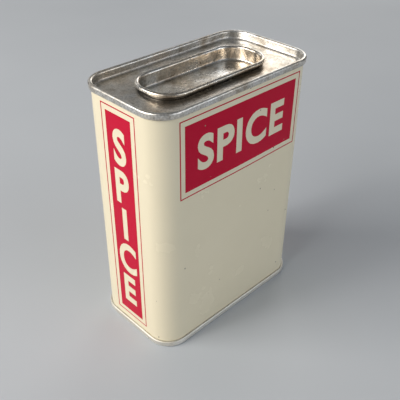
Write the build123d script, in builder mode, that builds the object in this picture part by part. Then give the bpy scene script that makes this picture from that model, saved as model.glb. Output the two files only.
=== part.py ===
from build123d import *
import os

# A small oblong spice tin: a folded tinplate wall, a top and a bottom end seamed on to it,
# and a drawn plug lid that pulls straight up out of a neck in the top end.
# Millimetres. +Z is up, and the origin is at the centre of the base.

# ---- Driving dimensions ----

tin_width = 58.5  # outside of the wall, along X
tin_depth = 31.4  # outside of the wall, along Y
tin_height = 79.2  # over both seams
corner_radius = 6.8  # outside of the wall

sheet = 0.20  # tinplate thickness
layer_gap = 0.05  # between folded layers

seam_height = 1.9
crest_radius = 0.45  # middle of the sheet, along the rounded edges of a seam
hook_clearance = 0.34  # from the end of a hook to the fold it points at
compound_thickness = 0.12
compound_width = 0.20
compound_clearance = 0.01

panel_depth = 2.6  # from the top of a seam down to the sunk panel
panel_bend = 0.9  # middle of the sheet, where the panel turns up
panel_lap = 0.3  # flat that joins the bend to the panel

lid_length = 41.9  # over the curl
lid_width = 17.35
lid_corner = 7.55
lid_crest = 78.7  # height of the curl's top
lid_floor = 74.4  # height of the pan's floor
lid_floor_bend = 0.9  # middle of the sheet
curl_radius = 0.65  # outside of the curl
curl_sweep = 280  # degrees
floor_lap = 0.4  # flat that joins the bend to the floor

neck_clearance = 0.06  # between the plug and the neck, all round
neck_bend = 0.3  # middle of the sheet
neck_length = 2.6
neck_lap = 0.8  # flat that joins the bend to the panel

lock_y = 8.0  # where the side seam's groove lies on the right-hand wall
lock_margin = 6.0  # from each end of the tin to the folded part of the side seam
lock_hook = 2.2
lock_reach = 3.4  # how far the folded part runs in front of the groove
lock_overlap = 0.6  # the rear edge's hook runs this far past the front edge's
step_start = 0.75  # behind the groove, where the rear edge begins to step inside the wall
step_end = 0.15
step_radii = (0.15, 0.3)
rear_hook_end = 0.5  # in front of the groove
solder_radius = 0.2
solder_inset = 0.25  # middle of the solder run, in from the wall's face
solder_back = 0.22  # and behind the groove

coat = 0.03  # baked enamel
ink = 0.02  # printed panels, on top of the enamel
bare_front = 0.8  # enamel left off in front of the side seam
bare_rear = 0.85
key_line = 0.34  # width of the thin border line
key_margin = 1.43  # from the border line in to the panel

# ---- Layers of a double seam, each the middle of its sheet, outwards from the wall's face ----

pitch = sheet + layer_gap
wall_layer = -sheet / 2
chuck_layer = wall_layer - pitch
cover_hook_layer = wall_layer + pitch
body_hook_layer = wall_layer + 2 * pitch
outer_layer = wall_layer + 3 * pitch
fold_radius = 0.96 * pitch

crest_z = tin_height - sheet / 2
body_fold_z = tin_height - 1.5 * sheet - compound_thickness - 2 * compound_clearance
cover_fold_z = tin_height - seam_height + sheet / 2
panel_z = tin_height - panel_depth - sheet / 2
panel_inset = -chuck_layer + panel_bend

# ---- Plug lid and neck, each the middle of its sheet ----

curl_line = curl_radius - sheet / 2
plug_inset = curl_line + curl_radius
plug_length = lid_length - 2 * plug_inset
plug_width = lid_width - 2 * plug_inset
plug_corner = lid_corner - plug_inset
curl_z = lid_crest - curl_radius
floor_z = lid_floor - sheet / 2

neck_offset = sheet + neck_clearance
mouth_length = plug_length + 2 * neck_offset
mouth_width = plug_width + 2 * neck_offset
mouth_corner = plug_corner + neck_offset

# ---- Side seam layers, in from the right-hand face ----

lock_layers = [tin_width / 2 - sheet / 2 - i * pitch for i in range(4)]
lock_height = tin_height - 2 * lock_margin
wall_straight = tin_depth / 2 - corner_radius


def loop_of(length, width, radius):
    """A closed rounded rectangle at height 0, anticlockwise from above."""
    x = length / 2
    y = width / 2
    with BuildLine() as loop:
        FilletPolyline((-x, -y), (x, -y), (x, y), (-x, y), radius=radius, close=True)
    return loop.wire()


def across(loop):
    """The plane square to a loop at its start: X points outwards and Y points up."""
    along = loop % 0
    outward = along.cross(Vector(0, 0, 1))
    return Plane(origin=loop @ 0, x_dir=outward, z_dir=-along)


def finish(piece, name):
    """Name a finished piece and write it."""
    piece.part.label = name
    export_step(piece.part, f"parts/{name}.step")


def end_bends(flip):
    """Bend points of an end's rim, from the tucked hook over the seam and down to the panel."""
    bends = [
        (cover_hook_layer, body_fold_z - hook_clearance - sheet / 2),
        (cover_hook_layer, cover_fold_z),
        (outer_layer, cover_fold_z),
        (outer_layer, crest_z),
        (chuck_layer, crest_z),
        (chuck_layer, panel_z),
        (-panel_inset - panel_lap, panel_z),
    ]
    if flip:
        return [(out, tin_height - up) for out, up in bends]
    return bends


end_radii = [fold_radius, fold_radius, crest_radius, crest_radius, panel_bend]

wall_loop = loop_of(tin_width, tin_depth, corner_radius)
plug_loop = loop_of(plug_length, plug_width, plug_corner)
mouth_loop = loop_of(mouth_length, mouth_width, mouth_corner)

os.makedirs("parts", exist_ok=True)

# ---- Body: the wall, with a hook at each end and a folded side seam ----

hook_end = cover_fold_z + hook_clearance - sheet / 2

with BuildPart() as body:
    with BuildSketch(across(wall_loop)):
        with BuildLine():
            FilletPolyline(
                (body_hook_layer, hook_end),
                (body_hook_layer, body_fold_z),
                (wall_layer, body_fold_z),
                (wall_layer, tin_height - body_fold_z),
                (body_hook_layer, tin_height - body_fold_z),
                (body_hook_layer, tin_height - hook_end),
                radius=fold_radius,
            )
        trace(line_width=sheet)
    sweep(path=wall_loop)
    # The folded seam replaces this strip of the plain wall.
    with BuildSketch(Plane.XY.offset(lock_margin)):
        with Locations((tin_width / 2, (lock_y - lock_reach + wall_straight) / 2)):
            Rectangle(3 * sheet, wall_straight - lock_y + lock_reach)
    extrude(amount=lock_height, mode=Mode.SUBTRACT)
    with BuildSketch(Plane.XY.offset(lock_margin)):
        with BuildLine():
            # The front edge turns in and back on itself.
            FilletPolyline(
                (lock_layers[0], lock_y - lock_reach),
                (lock_layers[0], lock_y - sheet / 2),
                (lock_layers[2], lock_y - sheet / 2),
                (lock_layers[2], lock_y - lock_hook),
                radius=fold_radius,
            )
        trace(line_width=sheet)
        with BuildLine():
            # The rear edge steps inside the wall and hooks into the front edge.
            FilletPolyline(
                (lock_layers[0], wall_straight),
                (lock_layers[0], lock_y + step_start),
                (lock_layers[3], lock_y + step_end),
                (lock_layers[3], lock_y - lock_hook - lock_overlap),
                (lock_layers[1], lock_y - lock_hook - lock_overlap),
                (lock_layers[1], lock_y - rear_hook_end),
                radius=[*step_radii, fold_radius, fold_radius],
            )
        trace(line_width=sheet)
    extrude(amount=lock_height)
finish(body, "body")

# ---- Solder run down in the groove of the side seam ----

with BuildPart() as side_seam_solder:
    with BuildSketch(Plane.XY.offset(lock_margin)):
        with Locations((tin_width / 2 - solder_inset, lock_y + solder_back)):
            Circle(solder_radius)
    extrude(amount=lock_height)
finish(side_seam_solder, "side_seam_solder")

# ---- Top end: rim, sunk panel and the neck that the lid plugs into ----

with BuildPart() as top_end:
    with BuildSketch(across(wall_loop)):
        with BuildLine():
            FilletPolyline(*end_bends(flip=False), radius=end_radii)
        trace(line_width=sheet)
    sweep(path=wall_loop)
    with BuildSketch(across(mouth_loop)):
        with BuildLine():
            FilletPolyline(
                (neck_lap, panel_z),
                (0, panel_z),
                (0, panel_z + sheet / 2 - neck_length),
                radius=[neck_bend],
            )
        trace(line_width=sheet)
    sweep(path=mouth_loop)
    with BuildSketch(Plane.XY.offset(panel_z - sheet / 2)):
        RectangleRounded(
            tin_width - 2 * panel_inset,
            tin_depth - 2 * panel_inset,
            corner_radius - panel_inset,
        )
        RectangleRounded(
            mouth_length + 2 * neck_bend,
            mouth_width + 2 * neck_bend,
            mouth_corner + neck_bend,
            mode=Mode.SUBTRACT,
        )
    extrude(amount=sheet)
finish(top_end, "top_end")

# ---- Bottom end: the same rim upside down, with a plain panel ----

with BuildPart() as bottom_end:
    with BuildSketch(across(wall_loop)):
        with BuildLine():
            FilletPolyline(*end_bends(flip=True), radius=end_radii)
        trace(line_width=sheet)
    sweep(path=wall_loop)
    with BuildSketch(Plane.XY.offset(panel_depth)):
        RectangleRounded(
            tin_width - 2 * panel_inset,
            tin_depth - 2 * panel_inset,
            corner_radius - panel_inset,
        )
    extrude(amount=sheet)
finish(bottom_end, "bottom_end")

# ---- Sealing compound, pressed flat between each end and the fold of the body ----

for name, seal_z in (
    ("top_seam_compound", body_fold_z + sheet / 2 + compound_clearance + compound_thickness / 2),
    ("bottom_seam_compound", sheet + compound_clearance + compound_thickness / 2),
):
    with BuildPart() as seal:
        with BuildSketch(across(wall_loop)):
            with Locations((cover_hook_layer, seal_z)):
                Rectangle(compound_width, compound_thickness)
        sweep(path=wall_loop)
    finish(seal, name)

# ---- Plug lid: a shallow drawn pan with its edge curled outwards ----

with BuildPart() as plug_lid:
    with BuildSketch(across(plug_loop)):
        with BuildLine():
            CenterArc((curl_line, curl_z), curl_line, 180 - curl_sweep, curl_sweep)
            FilletPolyline(
                (0, curl_z),
                (0, floor_z),
                (-lid_floor_bend - floor_lap, floor_z),
                radius=[lid_floor_bend],
            )
        trace(line_width=sheet)
    sweep(path=plug_loop)
    with BuildSketch(Plane.XY.offset(floor_z - sheet / 2)):
        RectangleRounded(
            plug_length - 2 * lid_floor_bend,
            plug_width - 2 * lid_floor_bend,
            plug_corner - lid_floor_bend,
        )
    extrude(amount=sheet)
finish(plug_lid, "plug_lid")

# ---- Enamel coat on the outside of the wall, left off along the side seam ----

coat_low = seam_height + coat
coat_height = tin_height - 2 * coat_low

with BuildPart() as enamel_coat:
    with BuildSketch(Plane.XY.offset(coat_low)):
        RectangleRounded(tin_width + 2 * coat, tin_depth + 2 * coat, corner_radius + coat)
        RectangleRounded(tin_width, tin_depth, corner_radius, mode=Mode.SUBTRACT)
        with Locations((tin_width / 2, lock_y + (bare_rear - bare_front) / 2)):
            Rectangle(sheet, bare_front + bare_rear, mode=Mode.SUBTRACT)
    extrude(amount=coat_height)
finish(enamel_coat, "enamel_coat")

# ---- Printed panels, each a filled rectangle inside a thin border line, laid on the enamel ----

wide_panel = (42.95, 19.3)
narrow_panel = (10.15, 68.25)
label_reach = corner_radius  # depth of wall that a print may follow round a corner

# name, centre of the panel, direction of its width, direction it faces, size
printed_panels = (
    ("front_label", (0.2, -tin_depth / 2, 64.4), (1, 0, 0), (0, -1, 0), wide_panel),
    ("back_label", (-0.2, tin_depth / 2, 64.4), (-1, 0, 0), (0, 1, 0), wide_panel),
    ("left_label", (-tin_width / 2, 0.5, 39.9), (0, -1, 0), (-1, 0, 0), narrow_panel),
    ("right_label", (tin_width / 2, -0.4, 39.9), (0, 1, 0), (1, 0, 0), narrow_panel),
)

for name, centre, across_dir, facing, (panel_w, panel_h) in printed_panels:
    inner_w = panel_w + 2 * key_margin
    inner_h = panel_h + 2 * key_margin
    with BuildPart() as label:
        with BuildSketch(Plane.XY.offset(coat_low)):
            RectangleRounded(
                tin_width + 2 * (coat + ink),
                tin_depth + 2 * (coat + ink),
                corner_radius + coat + ink,
            )
            RectangleRounded(
                tin_width + 2 * coat,
                tin_depth + 2 * coat,
                corner_radius + coat,
                mode=Mode.SUBTRACT,
            )
        extrude(amount=coat_height)
        with BuildSketch(Plane(origin=centre, x_dir=across_dir, z_dir=facing)):
            Rectangle(inner_w + 2 * key_line, inner_h + 2 * key_line)
            Rectangle(inner_w, inner_h, mode=Mode.SUBTRACT)
            Rectangle(panel_w, panel_h)
        extrude(amount=label_reach, both=True, mode=Mode.INTERSECT)
    finish(label, name)
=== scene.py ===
"""A small oblong spice tin: bare tinplate ends and plug lid, a cream enamelled wall, red print."""
import math

import bmesh
import bpy
import numpy as np
from mathutils import Matrix, Vector, noise


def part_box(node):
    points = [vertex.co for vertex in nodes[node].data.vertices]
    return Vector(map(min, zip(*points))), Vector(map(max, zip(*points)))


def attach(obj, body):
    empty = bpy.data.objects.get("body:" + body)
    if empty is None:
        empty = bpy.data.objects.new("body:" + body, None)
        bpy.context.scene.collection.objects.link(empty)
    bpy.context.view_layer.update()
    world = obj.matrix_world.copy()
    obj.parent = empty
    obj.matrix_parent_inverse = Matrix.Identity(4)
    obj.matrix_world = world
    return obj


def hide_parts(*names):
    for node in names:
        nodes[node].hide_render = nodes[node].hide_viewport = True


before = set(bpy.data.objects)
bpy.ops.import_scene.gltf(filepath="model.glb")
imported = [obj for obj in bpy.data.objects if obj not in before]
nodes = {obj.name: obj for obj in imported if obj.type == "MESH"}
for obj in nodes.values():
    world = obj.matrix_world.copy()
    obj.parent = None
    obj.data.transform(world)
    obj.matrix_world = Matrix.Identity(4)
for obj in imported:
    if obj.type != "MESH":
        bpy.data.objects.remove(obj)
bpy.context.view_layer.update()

MM = 0.001

# ---- Sizes that the frame's boxes don't give, the same as the design's ----

SHEET = 0.20 * MM
PITCH = 0.25 * MM  # from one folded layer of sheet to the next
CORNER = 6.8 * MM  # outside corner of the wall
SEAM_HEIGHT = 1.9 * MM
SEAM_OUT = 0.75 * MM  # how far a seam stands out from the wall
SEAM_CREST = 0.45 * MM
PANEL_DEPTH = 2.6 * MM
PANEL_BEND = 0.9 * MM
PANEL_LAP = 0.3 * MM  # flat that joins a bend to the panel
HOOK_END = 0.88 * MM  # from the top of a seam down to the end of the tucked hook
NECK_LAP = 0.8 * MM  # flat that joins the neck's bend to the panel
NECK_BEND = 0.3 * MM
NECK_GAP = 0.06 * MM
NECK_LENGTH = 2.6 * MM
CURL = 0.65 * MM
LID_CORNER = 7.55 * MM
LID_BEND = 0.9 * MM
LID_LAP = 0.4 * MM  # flat that joins the lid's bend to its floor
INK = 0.02 * MM
KEY_LINE = 0.34 * MM
KEY_MARGIN = 1.43 * MM
PRINT_BACK = 0.004 * MM  # the back of the print, just clear of the enamel
BARE_START = 7.2 * MM  # the strip without enamel, from the middle of the right-hand face
BARE_END = 8.85 * MM

# ---- Places taken from the frame ----

rim_low, rim_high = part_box("top_end")
coat_low, coat_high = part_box("enamel_coat")
lid_low, lid_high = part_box("plug_lid")

TOP = rim_high.z
WALL = (rim_high.x - SEAM_OUT, rim_high.y - SEAM_OUT, CORNER)
COAT = coat_high.x - WALL[0]

# The plug's wall, the middle of its sheet, as half sizes and corner.
PLUG_INSET = 2 * CURL - SHEET / 2
PLUG = (lid_high.x - PLUG_INSET, lid_high.y - PLUG_INSET, LID_CORNER - PLUG_INSET)

# ---- Loops, bent sheet and meshes ----

LONG_STEPS = 44
SHORT_STEPS = 20
CORNER_STEPS = 18


def loop_template():
    """Rows of (side x, side y, direction x, direction y) round a rounded rectangle."""
    rows = []
    corners = [(-1, -1), (1, -1), (1, 1), (-1, 1)]
    for side, steps in enumerate((LONG_STEPS, SHORT_STEPS, LONG_STEPS, SHORT_STEPS)):
        start, end = corners[side], corners[(side + 1) % 4]
        facing = math.radians(-90 + 90 * side)
        for i in range(steps):
            t = i / steps
            x = start[0] + (end[0] - start[0]) * t
            y = start[1] + (end[1] - start[1]) * t
            rows.append((x, y, math.cos(facing), math.sin(facing)))
        for i in range(CORNER_STEPS):
            turned = facing + math.radians(90) * i / CORNER_STEPS
            rows.append((end[0], end[1], math.cos(turned), math.sin(turned)))
    return np.array(rows)


TEMPLATE = loop_template()


def loop(base, out, height):
    """Points round a base loop, moved outwards by out, at a height."""
    half_x, half_y, radius = (value + out for value in base)
    x = TEMPLATE[:, 0] * (half_x - radius) + TEMPLATE[:, 2] * radius
    y = TEMPLATE[:, 1] * (half_y - radius) + TEMPLATE[:, 3] * radius
    return np.column_stack([x, y, np.full(len(x), height)])


def straight(start, end, steps):
    """Rows of (out, up, normal out, normal up) along a run, without its end point."""
    along = end - start
    length = np.linalg.norm(along)
    if length < 1e-9:
        return []
    along = along / length
    return [(*(start + (end - start) * k / steps), along[1], -along[0]) for k in range(steps)]


def arc(middle, radius, first, turn, steps):
    """Rows along an arc, from angle first through turn, in radians."""
    side = math.copysign(1, turn)
    rows = []
    for k in range(steps + 1):
        angle = first + turn * k / steps
        spoke = np.array([math.cos(angle), math.sin(angle)])
        rows.append((*(middle + spoke * radius), *(spoke * side)))
    return rows


def bent(points, radii, arc_steps=8, run_steps=3):
    """A line with rounded bends, as rows of (out, up, normal out, normal up)."""
    points = [np.array(p, float) for p in points]
    rows = []
    cursor = points[0]
    for before, here, after, radius in zip(points, points[1:], points[2:], radii):
        back = (before - here) / np.linalg.norm(before - here)
        ahead = (after - here) / np.linalg.norm(after - here)
        half = math.acos(np.clip(back @ ahead, -1, 1)) / 2
        reach = radius / math.tan(half)
        start, end = here + back * reach, here + ahead * reach
        middle = here + (back + ahead) / np.linalg.norm(back + ahead) * radius / math.sin(half)
        first = math.atan2(start[1] - middle[1], start[0] - middle[0])
        last = math.atan2(end[1] - middle[1], end[0] - middle[0])
        turn = (last - first + math.pi) % (2 * math.pi) - math.pi
        rows += straight(cursor, start, run_steps)
        rows += arc(middle, radius, first, turn, arc_steps)
        cursor = end
    rows += straight(cursor, points[-1], run_steps)
    rows.append((*points[-1], *rows[-1][2:]))
    return rows


def mesh_object(name, vertices, faces, crease=40):
    """A smooth-shaded closed mesh with its faces turned outwards and its folds kept sharp."""
    mesh = bpy.data.meshes.new(name)
    mesh.from_pydata([tuple(v) for v in vertices], [], faces)
    work = bmesh.new()
    work.from_mesh(mesh)
    bmesh.ops.recalc_face_normals(work, faces=work.faces)
    work.to_mesh(mesh)
    work.free()
    mesh.shade_smooth()
    mesh.set_sharp_from_angle(angle=math.radians(crease))
    piece = bpy.data.objects.new(name, mesh)
    bpy.context.scene.collection.objects.link(piece)
    return piece


def ringed(name, rings, capped):
    """A closed mesh through rings of points. Capped, its two middle rings are filled instead."""
    count = len(rings[0])
    faces = []
    for r in range(len(rings)):
        after = (r + 1) % len(rings)
        if capped and r == len(rings) // 2 - 1:
            faces.append([r * count + i for i in range(count)])
            faces.append([after * count + i for i in range(count)])
            continue
        for i in range(count):
            j = (i + 1) % count
            faces.append((r * count + i, r * count + j, after * count + j, after * count + i))
    return mesh_object(name, np.concatenate(rings), faces)


def wander(point, size, seed):
    """Smooth unevenness from 0 to 1 about as coarse as size, the same every run."""
    spot = Vector(point) / size + Vector((seed, seed * 1.7, seed * 0.6))
    return min(1, max(0, 0.5 + 0.5 * noise.noise(spot)))


def outside_of(base, p):
    """How far a point is outside a base loop, seen from above; negative inside it."""
    half_x, half_y, radius = base
    beyond_x, beyond_y = abs(p.x) - half_x + radius, abs(p.y) - half_y + radius
    length = math.hypot(max(beyond_x, 0), max(beyond_y, 0))
    return length + min(max(beyond_x, beyond_y), 0) - radius


def pressed_sheet(name, base, rows, inner=(), flat_rings=10, warp=None):
    """A piece of bent sheet round a base loop. inner is (base, rows) of a neck inside it, or
    nothing, and then the panel is closed in the middle. warp moves each point a little."""
    sides = []
    for side in (SHEET / 2, -SHEET / 2):
        rings = [loop(base, out + no * side, up + nu * side) for out, up, no, nu in rows]
        if inner:
            inner_base, inner_rows = inner
            neck = [
                loop(inner_base, out + no * side, up + nu * side)
                for out, up, no, nu in inner_rows
            ]
            goal = neck[0]
        else:
            half_x, half_y, _ = (value + rows[-1][0] for value in base)
            sliver = half_y * 0.06
            goal = loop((half_x - half_y + sliver, sliver, sliver), 0, rings[-1][0][2])
            neck = [goal]
        edge = rings[-1]
        rings += [edge + (goal - edge) * k / flat_rings for k in range(1, flat_rings)]
        sides.append(rings + neck)
    rings = sides[0] + sides[1][::-1]
    if warp:
        rings = [np.array([warp(Vector(p)) for p in ring]) for ring in rings]
    return ringed(name, rings, capped=not inner)


# ---- The two seamed ends ----

WALL_LAYER = -SHEET / 2
CHUCK = WALL_LAYER - PITCH
COVER_HOOK = WALL_LAYER + PITCH
OUTER = WALL_LAYER + 3 * PITCH
FOLD = 0.96 * PITCH
PANEL_Z = TOP - PANEL_DEPTH - SHEET / 2
PANEL_EDGE = CHUCK - PANEL_BEND - PANEL_LAP


def end_rows(flip):
    """The rim of an end, from its tucked hook over the seam and down to the panel."""
    points = [
        (COVER_HOOK, TOP - HOOK_END),
        (COVER_HOOK, TOP - SEAM_HEIGHT + SHEET / 2),
        (OUTER - 0.06 * MM, TOP - SEAM_HEIGHT + SHEET / 2),
        (OUTER, TOP - 0.55 * SEAM_HEIGHT),
        (OUTER, TOP - SHEET / 2),
        (CHUCK, TOP - SHEET / 2),
        (CHUCK, PANEL_Z),
        (PANEL_EDGE, PANEL_Z),
    ]
    if flip:
        points = [(out, TOP - up) for out, up in points]
    return bent(points, [0.8 * FOLD, 0.8 * FOLD, 6 * MM, SEAM_CREST, SEAM_CREST, PANEL_BEND])


def seam_warp(seed, panel_sag, height):
    """Unevenness of the end at a height, TOP or 0: a rolled seam is a little wavy, and the
    panel isn't quite flat."""

    def warp(p):
        inside = CHUCK - outside_of(WALL, p)
        if inside < PANEL_BEND:
            near = abs(p.z - height) / SEAM_HEIGHT
            pull = 0.07 * MM * wander((p.x, p.y, 0), 5 * MM, seed)
            pull += 0.05 * MM * wander((p.x, p.y, 0), 1.6 * MM, seed + 3) * min(1, near)
            reach = math.hypot(p.x, p.y)
            up = 0.05 * MM * wander((p.x, p.y, 0), 9 * MM, seed + 7)
            z = min(p.z, TOP) - up if height else max(p.z, 0) + up
            return (p.x * (1 - pull / reach), p.y * (1 - pull / reach), z)
        depth = min(1, (inside - PANEL_BEND) / (4 * MM))
        sag = panel_sag * depth * (wander(p, 14 * MM, seed + 11) - 0.5)
        sag += 0.03 * MM * depth * (wander(p, 4 * MM, seed + 13) - 0.5)
        return (p.x, p.y, p.z + sag)

    return warp


def make_ends():
    """Top and bottom ends."""
    mouth = tuple(value + SHEET + NECK_GAP for value in PLUG)
    neck_rows = bent(
        [(NECK_LAP, PANEL_Z), (0, PANEL_Z), (0, PANEL_Z + SHEET / 2 - NECK_LENGTH)],
        [NECK_BEND],
    )
    top = pressed_sheet(
        "top_end_sheet", WALL, end_rows(False), (mouth, neck_rows), warp=top_warp(mouth)
    )
    bottom = pressed_sheet(
        "bottom_end_sheet", WALL, end_rows(True), flat_rings=14, warp=seam_warp(6, 0.5 * MM, 0)
    )
    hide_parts("top_end")
    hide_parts("bottom_end")
    for piece in (top, bottom):
        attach(piece, "tin")
    return top, bottom


def top_warp(mouth):
    """The top end's unevenness, which dies away at the neck so that the plug still fits."""
    seam = seam_warp(2, 0.22 * MM, TOP)

    def warp(p):
        moved = Vector(seam(p))
        keep = min(1, max(0, (outside_of(mouth, p) - 0.6 * MM) / (1.5 * MM)))
        return tuple(p + (moved - p) * keep)

    return warp


def make_lid():
    """The plug lid: a shallow pan with its edge curled outwards."""
    curl_line = CURL - SHEET / 2
    curl_z = lid_high.z - CURL
    floor_z = lid_low.z + SHEET / 2
    rows = arc(np.array([curl_line, curl_z]), curl_line, math.radians(-100), math.radians(280), 26)
    rows += bent(
        [(0, curl_z), (0, floor_z), (-LID_BEND - LID_LAP, floor_z)], [LID_BEND], arc_steps=10
    )[1:]
    floor_edge = PLUG[1] - LID_BEND

    def warp(p):
        inside = -outside_of(PLUG, p)
        if p.z > curl_z - 0.5 * MM:
            pull = 0.06 * MM * wander(p, 3 * MM, 21) * min(1, (p.z - curl_z + 0.5 * MM) / CURL)
            reach = math.hypot(p.x, p.y)
            drop = 0.05 * MM * wander(p, 7 * MM, 23)
            return (p.x * (1 - pull / reach), p.y * (1 - pull / reach), p.z - drop)
        if inside > LID_BEND:
            depth = min(1, (inside - LID_BEND) / (floor_edge * 0.6))
            return (p.x, p.y, p.z + 0.16 * MM * depth * wander(p, 8 * MM, 25))
        return tuple(p)

    lid = pressed_sheet("plug_lid_sheet", PLUG, rows, flat_rings=12, warp=warp)
    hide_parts("plug_lid")
    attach(lid, "lid")
    return lid


# ---- The enamelled wall and what is printed on it ----

FACE = (coat_high.x, coat_high.y, CORNER + COAT)
LONG_RUN = 2 * (FACE[0] - FACE[2])
SHORT_RUN = 2 * (FACE[1] - FACE[2])
CORNER_RUN = math.pi / 2 * FACE[2]
ROUND = 2 * (LONG_RUN + SHORT_RUN) + 4 * CORNER_RUN
FACE_MIDDLE = {
    "front": 0,
    "right": LONG_RUN / 2 + CORNER_RUN + SHORT_RUN / 2,
    "back": LONG_RUN + 2 * CORNER_RUN + SHORT_RUN,
    "left": ROUND - LONG_RUN / 2 - CORNER_RUN - SHORT_RUN / 2,
}


def flatness(along, run):
    """0 at the ends of a flat run and 1 in its middle."""
    t = 1 - min(1, abs(along) / (run / 2))
    return t * t * (3 - 2 * t)


def wall_point(s, z, out):
    """The point a distance s round the wall from the front's middle, at height z, out from
    the enamel's face. The wide faces belly out a little, as a filled tin's do."""
    s = s % ROUND
    runs = [LONG_RUN / 2, CORNER_RUN, SHORT_RUN, CORNER_RUN, LONG_RUN, CORNER_RUN, SHORT_RUN]
    runs += [CORNER_RUN, LONG_RUN / 2]
    part = 0
    while part < len(runs) - 1 and s > runs[part]:
        s -= runs[part]
        part += 1
    side = (part + 1) // 2 % 4
    facing = math.radians(-90 + 90 * side)
    middle_x, middle_y = FACE[0] - FACE[2], FACE[1] - FACE[2]
    belly = 0
    if part % 2:
        facing = facing - math.radians(90) + s / FACE[2]
        side_x, side_y = [(1, -1), (1, 1), (-1, 1), (-1, -1)][part // 2]
        x, y = side_x * middle_x, side_y * middle_y
    else:
        run = LONG_RUN if side % 2 == 0 else SHORT_RUN
        along = s if part == 0 else s - run / 2
        x = (along, middle_x, -along, -middle_x)[side]
        y = (-middle_y, along, middle_y, -along)[side]
        level = min(1, max(0, min(z - coat_low.z, coat_high.z - z) / (14 * MM)))
        level = level * level * (3 - 2 * level)
        amount = (0.20, 0.05, 0.20, 0.08)[side] * MM
        belly = amount * flatness(along, run) * level * (0.6 + 0.8 * wander((x, y, z), 30 * MM, 31))
    reach = FACE[2] + out + belly
    return (x + math.cos(facing) * reach, y + math.sin(facing) * reach, z)


def plate(name, s_values, z_values, low, high, keep=None):
    """A thin closed plate on the wall, from out low to out high. keep says which cells of
    the grid are there."""
    columns, rows = len(s_values) - 1, len(z_values) - 1
    keep = keep or (lambda i, j: True)
    cells = {(i, j) for i in range(columns) for j in range(rows) if keep(i, j)}
    index = {}
    vertices = []

    def vertex(i, j, level):
        key = (i, j, level)
        if key not in index:
            index[key] = len(vertices)
            vertices.append(wall_point(s_values[i], z_values[j], high if level else low))
        return index[key]

    faces = []
    for i, j in sorted(cells):
        ring = [(i, j), (i + 1, j), (i + 1, j + 1), (i, j + 1)]
        faces.append([vertex(*c, 1) for c in ring])
        faces.append([vertex(*c, 0) for c in reversed(ring)])
        beside = [(i, j - 1), (i + 1, j), (i, j + 1), (i - 1, j)]
        for k, cell in enumerate(beside):
            if cell not in cells:
                a, b = ring[k], ring[(k + 1) % 4]
                faces.append([vertex(*a, 0), vertex(*b, 0), vertex(*b, 1), vertex(*a, 1)])
    return mesh_object(name, vertices, faces, crease=60)


def spaced(start, end, step):
    """Evenly spaced values from start to end, no more than about a step apart."""
    return list(np.linspace(start, end, max(2, math.ceil((end - start) / step) + 1)))


def make_coat():
    """The enamel, all round but for a bare strip along the side seam."""
    right = FACE_MIDDLE["right"]
    s_values = spaced(right + BARE_END, ROUND + (right + BARE_START), 0.7 * MM)
    z_values = spaced(coat_low.z, coat_high.z, 2.0 * MM)
    coat = plate("enamel_skin", s_values, z_values, -0.9 * COAT, 0)
    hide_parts("enamel_coat")
    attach(coat, "tin")
    return coat


def make_print(face, node):
    """A red panel and the thin line round it, as large as the label's CAD node."""
    low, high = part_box(node)
    if face in ("front", "back"):
        wide = high.x - low.x
        offset = (low.x + high.x) / 2 * (1 if face == "front" else -1)
    else:
        wide = high.y - low.y
        offset = (low.y + high.y) / 2 * (1 if face == "right" else -1)
    middle = FACE_MIDDLE[face] + offset
    border = KEY_LINE + KEY_MARGIN
    s0, s1 = middle - wide / 2, middle + wide / 2
    z0, z1 = low.z, high.z
    s_line = [s0] + spaced(s0 + KEY_LINE, s1 - KEY_LINE, 2 * MM) + [s1]
    z_line = [z0] + spaced(z0 + KEY_LINE, z1 - KEY_LINE, 2 * MM) + [z1]
    last_i, last_j = len(s_line) - 2, len(z_line) - 2
    line = plate(
        face + "_key_line", s_line, z_line, PRINT_BACK, INK,
        keep=lambda i, j: i in (0, last_i) or j in (0, last_j),
    )
    panel = plate(
        face + "_red_panel",
        spaced(s0 + border, s1 - border, 1 * MM),
        spaced(z0 + border, z1 - border, 2 * MM),
        PRINT_BACK,
        INK,
    )
    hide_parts(node)
    for piece in (line, panel):
        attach(piece, "tin")
    return [line, panel], middle, (z0 + z1) / 2


def sliced(mesh, low, high, step):
    """Cuts a letter's mesh into upright and level strips, so that it can follow a curved wall."""
    work = bmesh.new()
    work.from_mesh(mesh)
    for axis in (0, 1):
        normal = (1, 0, 0) if axis == 0 else (0, 1, 0)
        for value in spaced(low[axis], high[axis], step)[1:-1]:
            everything = work.verts[:] + work.edges[:] + work.faces[:]
            place = tuple(value * n for n in normal)
            bmesh.ops.bisect_plane(work, geom=everything, plane_co=place, plane_no=normal)
    work.to_mesh(mesh)
    work.free()
    return np.array([v.co for v in mesh.vertices])


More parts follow.
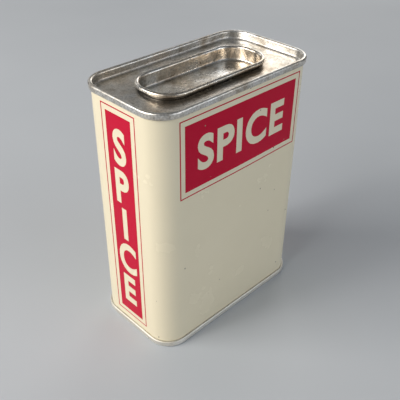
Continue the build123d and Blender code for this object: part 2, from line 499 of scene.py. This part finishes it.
def letters(name, text, size, stretch, middle, middle_z, spacing=1.0):
    """Plain capitals lying on a panel, centred on a place on the wall."""
    curve = bpy.data.curves.new(name, "FONT")
    curve.body = text
    curve.size = 1
    curve.offset = 0.035  # a little bolder
    curve.space_character = spacing
    curve.extrude = 0.5
    curve.resolution_u = 6
    holder = bpy.data.objects.new(name + "_form", curve)
    bpy.context.scene.collection.objects.link(holder)
    bpy.context.view_layer.update()
    filled = holder.evaluated_get(bpy.context.evaluated_depsgraph_get())
    mesh = bpy.data.meshes.new_from_object(filled)
    bpy.data.objects.remove(holder)
    points = np.array([v.co for v in mesh.vertices])
    low, high = points.min(0), points.max(0)
    scale_z = size / (high[1] - low[1])
    scale_s = scale_z * stretch
    points = sliced(mesh, low, high, 0.8 * MM / scale_s)
    vertices = []
    for x, y, depth in points:
        s = middle + (x - (low[0] + high[0]) / 2) * scale_s
        z = middle_z + (y - (low[1] + high[1]) / 2) * scale_z
        vertices.append(wall_point(s, z, INK * (0.9 if depth < 0 else 1.5)))
    faces = [list(p.vertices) for p in mesh.polygons]
    bpy.data.meshes.remove(mesh)
    piece = mesh_object(name, vertices, faces, crease=50)
    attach(piece, "tin")
    return piece


WORD = "SPICE"
WORD_HEIGHT = 10.4 * MM  # on the wide faces
LETTER_HEIGHT = 10.9 * MM  # on the narrow faces, one letter above another
LETTER_PITCH = 12.4 * MM


def make_prints():
    """The printed panels of the four faces, with a plain generic word on each."""
    red, cream = [], []
    for face in ("front", "back", "left", "right"):
        pieces, middle, middle_z = make_print(face, face + "_label")
        red += pieces
        if face in ("front", "back"):
            cream.append(letters(face + "_word", WORD, WORD_HEIGHT, 0.95, middle, middle_z, 1.12))
            continue
        for i, letter in enumerate(WORD):
            z = middle_z + (len(WORD) // 2 - i) * LETTER_PITCH
            cream.append(letters(f"{face}_letter_{i}", letter, LETTER_HEIGHT, 0.8, middle, z))
    return red, cream


# ---- Materials ----


def material(name):
    """A new node material and its shader node."""
    made = bpy.data.materials.new(name)
    made.use_nodes = True
    return made, made.node_tree.nodes["Principled BSDF"]


def add(tree, kind, **values):
    """A node with its properties and input values set."""
    node = tree.nodes.new(kind)
    for key, value in values.items():
        if hasattr(node, key):
            setattr(node, key, value)
        else:
            node.inputs[key.replace("_", " ")].default_value = value
    return node


def stretched(tree, scale):
    """The object's own coordinates, stretched by a scale on each axis."""
    place = add(tree, "ShaderNodeTexCoord")
    mapping = add(tree, "ShaderNodeMapping")
    mapping.inputs["Scale"].default_value = scale
    tree.links.new(place.outputs["Object"], mapping.inputs["Vector"])
    return mapping.outputs["Vector"]


def noise_at(tree, scale, detail=4, rough=0.55, stretch=(1, 1, 1)):
    """Noise of a scale in features per metre."""
    node = add(tree, "ShaderNodeTexNoise", Scale=scale, Detail=detail, Roughness=rough)
    tree.links.new(stretched(tree, stretch), node.inputs["Vector"])
    return node.outputs["Fac"]


def ramp(tree, source, stops):
    """A colour ramp over a value; stops are (place, colour or grey)."""
    node = add(tree, "ShaderNodeValToRGB")
    elements = node.color_ramp.elements
    while len(elements) < len(stops):
        elements.new(0.5)
    for element, (place, colour) in zip(elements, stops):
        element.position = place
        grey = not hasattr(colour, "__len__")
        element.color = (colour, colour, colour, 1) if grey else (*colour, 1)
    tree.links.new(source, node.inputs["Fac"])
    return node.outputs["Color"]


def mixed(tree, share, first, second, kind="MIX"):
    """Two colours mixed by a value or a number."""
    node = add(tree, "ShaderNodeMix", data_type="RGBA", blend_type=kind)
    for place, value in ((0, share), (6, first), (7, second)):
        if isinstance(value, bpy.types.NodeSocket):
            tree.links.new(value, node.inputs[place])
        elif hasattr(value, "__len__"):
            node.inputs[place].default_value = (*value, 1)
        else:
            node.inputs[place].default_value = value
    return node.outputs[2]


def bumped(tree, shader, heights):
    """Bumps stacked on a shader; heights are (value, height in metres)."""
    last = None
    for source, distance in heights:
        node = add(tree, "ShaderNodeBump", Distance=distance, Strength=1.0)
        tree.links.new(source, node.inputs["Height"])
        if last:
            tree.links.new(last, node.inputs["Normal"])
        last = node.outputs["Normal"]
    tree.links.new(last, shader.inputs["Normal"])


def calculated(tree, operation, *values):
    """A sum, product or comparison of values, each a node's output or a number."""
    node = add(tree, "ShaderNodeMath", operation=operation)
    for place, value in zip(node.inputs, values):
        if isinstance(value, bpy.types.NodeSocket):
            tree.links.new(value, place)
        else:
            place.default_value = value
    return node.outputs[0]


def specks(tree, scale, size, share):
    """1 on a few small round specks and 0 elsewhere."""
    cells = add(tree, "ShaderNodeTexVoronoi", Scale=scale, Randomness=1.0)
    tree.links.new(stretched(tree, (1, 1, 1)), cells.inputs["Vector"])
    near = calculated(tree, "LESS_THAN", cells.outputs["Distance"], size)
    chosen = add(tree, "ShaderNodeSeparateColor")
    tree.links.new(cells.outputs["Color"], chosen.inputs["Color"])
    few = calculated(tree, "GREATER_THAN", chosen.outputs["Red"], 1 - share)
    return calculated(tree, "MULTIPLY", near, few)


def outside_plug(tree):
    """How far a point is outside the plug's wall, seen from above, and its height, in metres.
    The first is never less than minus the plug's corner radius."""
    half_x, half_y, radius = PLUG
    place = add(tree, "ShaderNodeTexCoord")
    parts = add(tree, "ShaderNodeSeparateXYZ")
    tree.links.new(place.outputs["Object"], parts.inputs[0])
    squares = []
    for axis, half in (("X", half_x), ("Y", half_y)):
        size = calculated(tree, "ABSOLUTE", parts.outputs[axis])
        beyond = calculated(tree, "MAXIMUM", calculated(tree, "SUBTRACT", size, half - radius), 0)
        squares.append(calculated(tree, "MULTIPLY", beyond, beyond))
    length = calculated(tree, "SQRT", calculated(tree, "ADD", *squares))
    return calculated(tree, "SUBTRACT", length, radius), parts.outputs["Z"]


def neck_painted_shade(tree):
    """Painted shade: strongest in the crack where the lid's curl hangs over the neck, and 0 on the
    panel.
    """
    outside, _ = outside_plug(tree)
    scaled = calculated(tree, "DIVIDE", outside, 1.3 * MM)
    return ramp(tree, scaled, [(0.10, 0.3), (0.22, 0.85), (0.36, 0.6), (0.62, 0.0)])


def curl_painted_shade(tree):
    """Painted shade: nearly 1 under the lid's curl, less on the outside of the plug, and 0
    elsewhere.
    """
    outside, height = outside_plug(tree)
    beyond = calculated(tree, "GREATER_THAN", outside, 0.02 * MM)
    drop = calculated(tree, "DIVIDE", calculated(tree, "SUBTRACT", lid_high.z, height), 4 * MM)
    under = ramp(tree, drop, [(0.21, 0.0), (0.30, 0.9), (0.42, 0.8), (0.60, 0.25)])
    return calculated(tree, "MULTIPLY", beyond, under)


def enamel(name, light, dark, roughness, ior):
    """Glossy baked enamel: faint mottling, a few specks, orange peel."""
    made, shader = material(name)
    tree = made.node_tree
    tone = ramp(tree, noise_at(tree, 60, 6, 0.6), [(0.3, dark), (0.7, light)])
    dirt = mixed(tree, specks(tree, 420, 0.10, 0.10), tone, (0.30, 0.25, 0.18))
    tree.links.new(dirt, shader.inputs["Base Color"])
    tree.links.new(
        ramp(tree, noise_at(tree, 110, 4, 0.5), [(0.3, roughness - 0.02), (0.7, roughness + 0.02)]),
        shader.inputs["Roughness"],
    )
    shader.inputs["IOR"].default_value = ior
    bumped(tree, shader, [
        (noise_at(tree, 700, 3), 0.003 * MM),
        (noise_at(tree, 90, 1), 0.004 * MM),
    ])
    return made


def tinplate(name, marks, roughness, shade_mask=None, paler=0.0):
    """Old bare tinplate: warm metal, brown tarnish in blotches, dark speckle, fine scratches, and
    painted shade, nearly black, where the shade mask says. The last argument is the share of a pale
    tin colour mixed over the tarnish."""
    made, shader = material(name)
    tree = made.node_tree
    shader.inputs["Metallic"].default_value = 1
    blotch = noise_at(tree, 170, 8, 0.70)
    speckle = noise_at(tree, 1700, 3, 0.75)
    base = ramp(tree, blotch, [
        (0.33, (0.42, 0.36, 0.29)),
        (0.46, (0.68, 0.65, 0.60)),
        (0.64, (0.86, 0.85, 0.83)),
    ])
    fine = ramp(tree, speckle, [(0.36, 0.42), (0.56, 1.0)])
    stain = ramp(tree, noise_at(tree, 75, 3, 0.5), [
        (0.48, (1.0, 1.0, 1.0)),
        (0.66, (1.0, 0.91, 0.80)),
    ])
    colour = mixed(tree, 0.6, base, fine, "MULTIPLY")
    colour = mixed(tree, 1.0, colour, stain, "MULTIPLY")
    colour = mixed(tree, paler, colour, (0.88, 0.86, 0.80))
    pits_and_shade = mixed(tree, specks(tree, 600, 0.16, 0.04), colour, (0.08, 0.06, 0.04))
    # Painted shade: near black mixed in where the shade mask says, for the shadow under the lid's
    # curl.
    if shade_mask:
        pits_and_shade = mixed(tree, shade_mask(tree), pits_and_shade, (0.035, 0.026, 0.018))
    tree.links.new(pits_and_shade, shader.inputs["Base Color"])
    tree.links.new(
        ramp(tree, blotch, [(0.3, roughness + 0.14), (0.7, roughness)]), shader.inputs["Roughness"]
    )
    bumped(tree, shader, [
        (noise_at(tree, 1, 3, 0.6, marks), 0.008 * MM),
        (speckle, 0.014 * MM),
        (noise_at(tree, 180, 4), 0.05 * MM),
    ])
    return made


def grainy(name, colour, roughness, metallic):
    """Solder or compound: a mottled colour with a grainy surface."""
    made, shader = material(name)
    tree = made.node_tree
    shader.inputs["Metallic"].default_value = metallic
    dark = tuple(0.7 * c for c in colour)
    tone = ramp(tree, noise_at(tree, 500, 5), [(0.35, dark), (0.65, colour)])
    tree.links.new(tone, shader.inputs["Base Color"])
    shader.inputs["Roughness"].default_value = roughness
    bumped(tree, shader, [(noise_at(tree, 1200, 3), 0.02 * MM)])
    return made


def paint(pieces, made):
    """Gives pieces a material."""
    for piece in pieces:
        if piece.data.materials:
            piece.material_slots[0].material = made
        else:
            piece.data.materials.append(made)


# ---- Floor, lights and camera ----


def make_floor():
    """A plain pale floor."""
    bpy.ops.mesh.primitive_plane_add(size=6)
    floor = bpy.context.object
    floor.name = "floor"
    made, shader = material("pale_floor")
    tree = made.node_tree
    tone = ramp(tree, noise_at(tree, 6, 3), [
        (0.3, (0.50, 0.53, 0.57)),
        (0.7, (0.54, 0.57, 0.61)),
    ])
    tree.links.new(tone, shader.inputs["Base Color"])
    shader.inputs["Roughness"].default_value = 0.75
    paint([floor], made)


WARM_WHITE = (1.0, 0.96, 0.90)
COOL_WHITE = (0.90, 0.95, 1.0)


def softbox(name, direction, distance, size, power, colour):
    """A soft light that looks at the tin. direction is (azimuth from +Y towards +X, elevation)."""
    azimuth, elevation = (math.radians(v) for v in direction)
    flat = math.cos(elevation)
    way = Vector((math.sin(azimuth) * flat, math.cos(azimuth) * flat, math.sin(elevation)))
    lamp = bpy.data.lights.new(name, "AREA")
    lamp.shape = "RECTANGLE"
    lamp.size, lamp.size_y = size
    lamp.energy = power
    lamp.color = colour
    light = bpy.data.objects.new(name, lamp)
    light.location = Vector((0, 0, TOP / 2)) + way * distance
    light.rotation_euler = way.to_track_quat("Z", "Y").to_euler()
    bpy.context.scene.collection.objects.link(light)


def make_lights():
    """Plain soft studio light: two boxes on the left, two behind, two in front, and a dim room."""
    softbox("key", (-60, 30), 0.9, (0.5, 0.5), 5.5, WARM_WHITE)
    softbox("side", (-85, 30), 0.9, (0.5, 0.5), 3.5, WARM_WHITE)
    softbox("rear", (60, 20), 0.9, (0.4, 0.4), 1.5, WARM_WHITE)
    softbox("back", (10, 25), 0.9, (0.5, 0.3), 0.5, WARM_WHITE)
    softbox("front", (160, 10), 1.1, (0.9, 0.3), 3.0, COOL_WHITE)
    softbox("fill", (160, 35), 1.1, (0.9, 0.7), 0.8, COOL_WHITE)
    world = bpy.data.worlds.new("room")
    bpy.context.scene.world = world
    world.use_nodes = True
    room = world.node_tree.nodes["Background"]
    room.inputs["Color"].default_value = (*COOL_WHITE, 1)
    room.inputs["Strength"].default_value = 0.15
    view = bpy.context.scene.view_settings
    view.view_transform = "Standard"
    view.look = "None"


CAMERA_ANGLES = (-44.62, 34.71, 0.57)  # azimuth, elevation and roll, in degrees
CAMERA_LENS = 53.65
CAMERA_DISTANCE = 184.9  # millimetres from the middle of the tin
CAMERA_LEFT = 0.32  # millimetres to the side of that line, as the camera sees it
CAMERA_DOWN = 4.12


def make_camera():
    """A camera at the photograph's viewing angle."""
    azimuth, elevation, roll = (math.radians(v) for v in CAMERA_ANGLES)
    flat = math.cos(elevation)
    back = Vector((math.sin(azimuth) * flat, -math.cos(azimuth) * flat, math.sin(elevation)))
    level = Vector((math.cos(azimuth), math.sin(azimuth), 0))
    upright = back.cross(level)
    right = level * math.cos(roll) + upright * math.sin(roll)
    up = upright * math.cos(roll) - level * math.sin(roll)
    data = bpy.data.cameras.new("camera")
    data.sensor_width = 36
    data.lens = CAMERA_LENS
    data.clip_start = 0.01
    camera = bpy.data.objects.new("camera", data)
    middle = Vector((0, 0, TOP / 2))
    place = middle + back * CAMERA_DISTANCE * MM - right * CAMERA_LEFT * MM - up * CAMERA_DOWN * MM
    turn = Matrix((right, up, back)).transposed().to_4x4()
    camera.matrix_world = Matrix.Translation(place) @ turn
    bpy.context.scene.collection.objects.link(camera)
    bpy.context.scene.camera = camera


make_camera()
make_lights()
make_floor()

top_end, bottom_end = make_ends()
lid = make_lid()
coat = make_coat()
red_pieces, cream_pieces = make_prints()

cream_paint = enamel("cream_enamel", (0.83, 0.75, 0.56), (0.81, 0.73, 0.54), 0.26, 1.46)
red_paint = enamel("red_print", (0.55, 0.002, 0.034), (0.50, 0.001, 0.027), 0.24, 1.24)
paint([coat] + cream_pieces, cream_paint)
paint(red_pieces, red_paint)
# Painted shade darkens the top end's neck in the crack under the lid's curl.
paint([top_end], tinplate("tinplate_top_end", (260, 1900, 260), 0.30, neck_painted_shade))
# The bottom end is made paler and rougher than the top end.
paint([bottom_end], tinplate("tinplate_bottom_end", (260, 1900, 260), 0.50, paler=0.65))
# Painted shade darkens the lid under its curl.
paint([lid], tinplate("tinplate_lid_drawn", (2400, 2400, 90), 0.22, curl_painted_shade))
paint([nodes["body"]], tinplate("tinplate_wall_bare", (200, 200, 1600), 0.26))
paint([nodes["side_seam_solder"]], grainy("soft_solder", (0.45, 0.45, 0.44), 0.45, 1.0))
seals = [nodes["top_seam_compound"], nodes["bottom_seam_compound"]]
paint(seals, grainy("seam_compound", (0.36, 0.30, 0.21), 0.7, 0.0))
